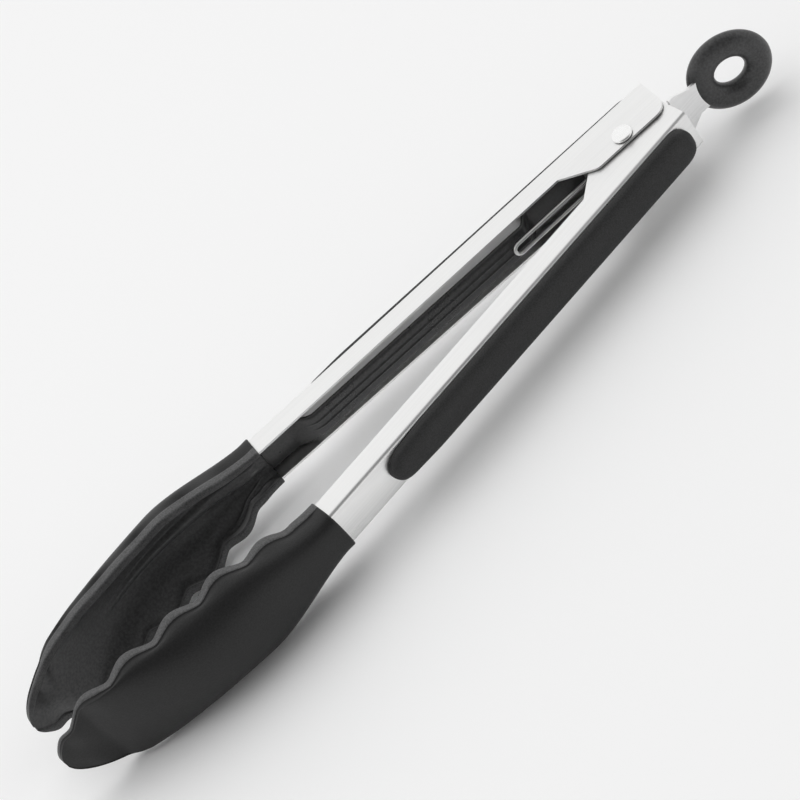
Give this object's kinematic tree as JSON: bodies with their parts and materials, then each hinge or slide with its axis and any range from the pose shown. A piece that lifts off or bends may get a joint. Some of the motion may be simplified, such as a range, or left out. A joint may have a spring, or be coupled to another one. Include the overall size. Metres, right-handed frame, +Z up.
{
  "type": "spring loaded kitchen tongs",
  "caption": "Sprung kitchen tongs with channel steel arms, soft grip pads, scalloped silicone heads and a ring pull tab.",
  "frame": {"origin": "middle of the tongs' outline on the surface they lie on, with the tongs on their side", "axes": "+X along the tongs from the heads to the hanging ring, +Y from the inner arm to the outer arm, +Z up along the pivot rivet"},
  "size_m": [0.3353, 0.069, 0.0402],
  "materials": {
    "arm_steel": "satin brushed stainless steel sheet",
    "rivet_steel": "tumbled stainless steel",
    "spring_wire": "drawn stainless spring wire",
    "grip_rubber": "matt black soft touch rubber with a fine grain",
    "core_nylon": "moulded black nylon",
    "head_silicone": "matt black silicone with a fine grain",
    "tab_steel": "plain stainless steel sheet",
    "ring_rubber": "smooth dark grey rubber, softly glossy"
  },
  "bodies": {
    "outer_arm_body": {"outer_arm": "arm_steel", "pivot_rivet": "rivet_steel", "torsion_spring": "spring_wire", "outer_grip_pad": "grip_rubber", "outer_head_core": "core_nylon", "outer_head_skin": "head_silicone"},
    "inner_arm_body": {"inner_arm": "arm_steel", "inner_grip_pad": "grip_rubber", "inner_head_core": "core_nylon", "inner_head_skin": "head_silicone"},
    "pull_tab_body": {"pull_tab": "tab_steel", "hang_ring": "ring_rubber"}
  },
  "joints": [
    {"name": "arm_hinge", "type": "hinge", "parent": "outer_arm_body", "child": "inner_arm_body", "pos_m": [0.1105, 0, 0.0201], "axis": [0, 0, 1], "range_deg": [-4, 14], "stiffness_Nm_per_rad": 0.8, "deforming": ["torsion_spring"]},
    {"name": "tab_slide", "type": "slide", "parent": "inner_arm_body", "child": "pull_tab_body", "axis": [0.9966, 0.0828, 0], "range_m": [0, 0.008]}
  ]
}
